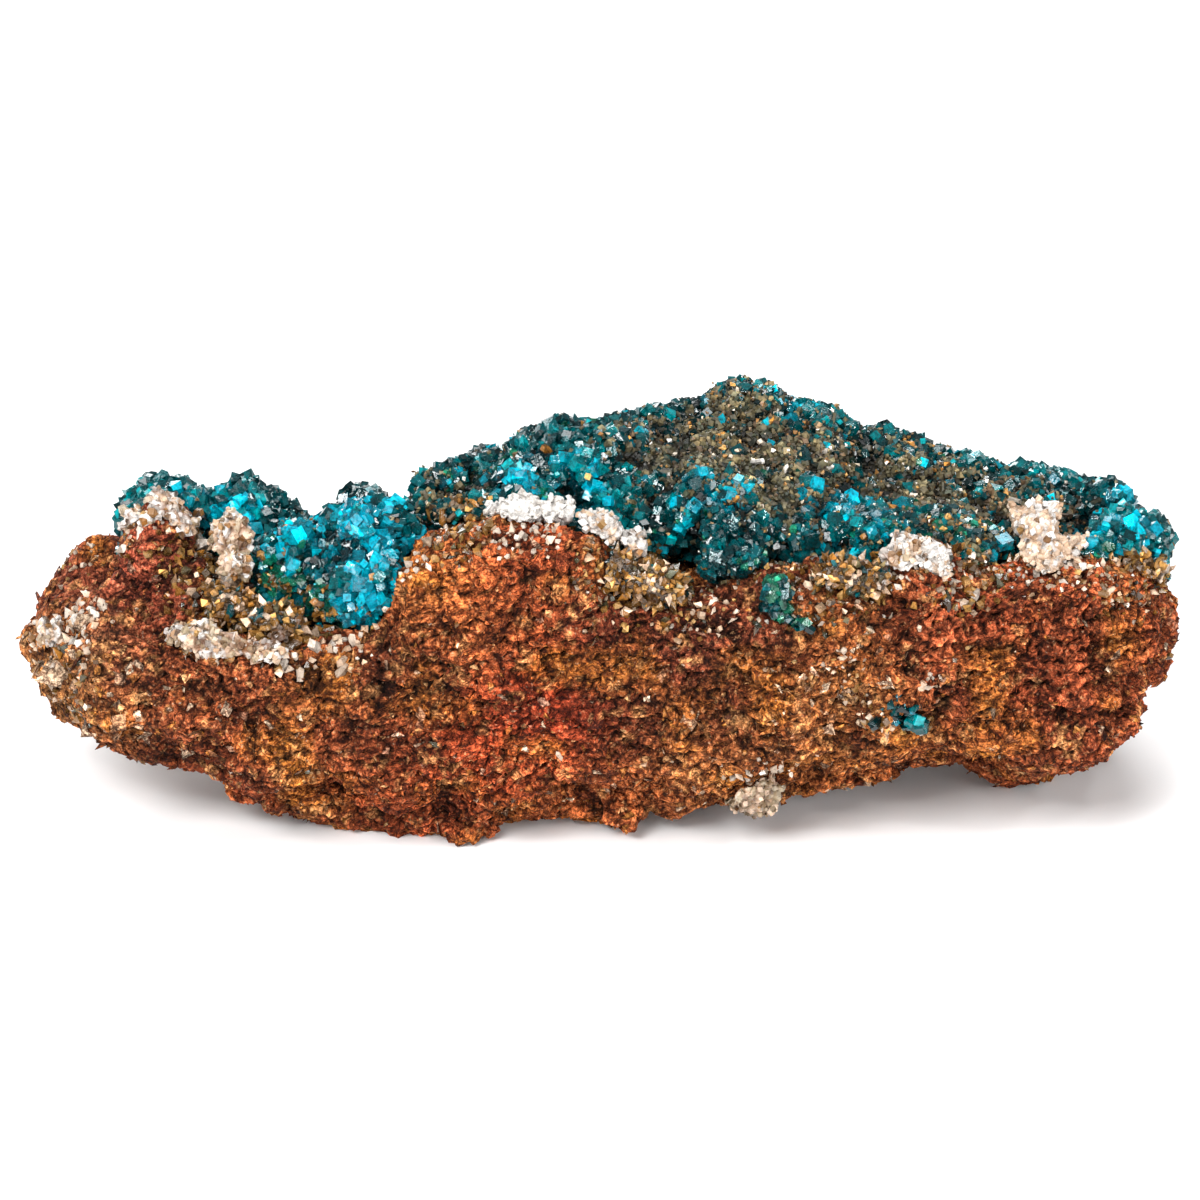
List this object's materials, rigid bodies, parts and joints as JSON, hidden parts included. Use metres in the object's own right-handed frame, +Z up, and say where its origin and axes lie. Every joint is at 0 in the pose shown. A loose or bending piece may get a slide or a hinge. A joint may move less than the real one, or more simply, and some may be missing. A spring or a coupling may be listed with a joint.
{
  "type": "dioptase specimen",
  "caption": "Long iron-stained rock lying on its underside, its top crusted with teal dioptase crystals in rounded knobs, with white calcite and ochre quartz along the rim.",
  "frame": {"origin": "on the table under the middle of the specimen's footprint", "axes": "+X along the specimen, towards the end with the single knob; +Y away from the side that shows the pocket; +Z up"},
  "size_m": [0.1376, 0.06, 0.0487],
  "materials": {
    "iron_rock": "matt, gritty, stained red-brown to ochre",
    "dioptase": "glassy, clear teal crystal faces",
    "calcite": "white to cream, waxy to glassy",
    "stained_quartz": "glassy, iron-stained"
  },
  "bodies": {
    "root": {"matrix": "iron_rock", "dioptase_crust": "dioptase", "dioptase_left_knobs": "dioptase", "dioptase_pocket": "dioptase", "dioptase_right_knob": "dioptase", "dioptase_vein": "dioptase", "dioptase_vug": "dioptase", "calcite_spur": "calcite", "calcite_ridge": "calcite", "calcite_pocket": "calcite", "calcite_nose": "calcite", "calcite_boss": "calcite", "calcite_shoulder": "calcite", "calcite_centre": "calcite", "calcite_right": "calcite", "calcite_foot": "calcite", "quartz_pocket": "stained_quartz", "quartz_centre": "stained_quartz", "quartz_right": "stained_quartz", "quartz_end": "stained_quartz"}
  },
  "joints": []
}
